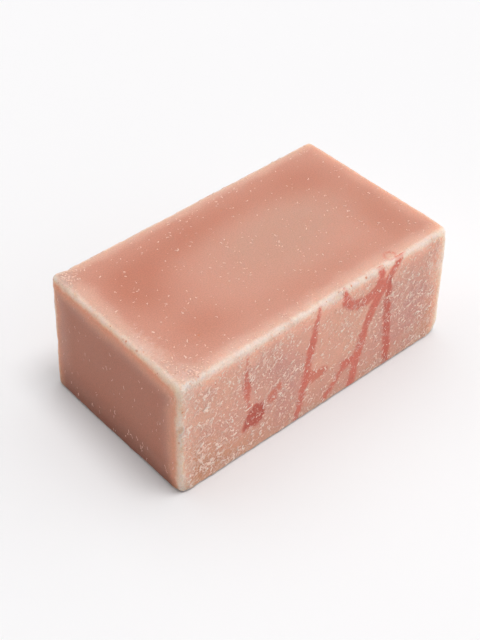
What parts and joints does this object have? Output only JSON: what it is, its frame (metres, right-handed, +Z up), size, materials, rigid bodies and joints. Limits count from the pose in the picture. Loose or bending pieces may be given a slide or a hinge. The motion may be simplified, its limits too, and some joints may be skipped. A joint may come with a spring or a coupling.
{
  "type": "bar of soap",
  "caption": "Hand-cut rectangular bar of veined cold-process soap with worn, rounded edges, lying on its broad face.",
  "frame": {"origin": "middle of the bar's underside, on the surface it rests on", "axes": "+X along the bar's length, -Y towards the veined cut face, +Z up out of the broad top"},
  "size_m": [0.0819, 0.047, 0.0324],
  "materials": {
    "veined_soap": "dusty salmon pink soap with brick red veins, pale cream edges and fine white ash flecks, satin"
  },
  "bodies": {
    "root": {"soap_bar": "veined_soap"}
  },
  "joints": []
}
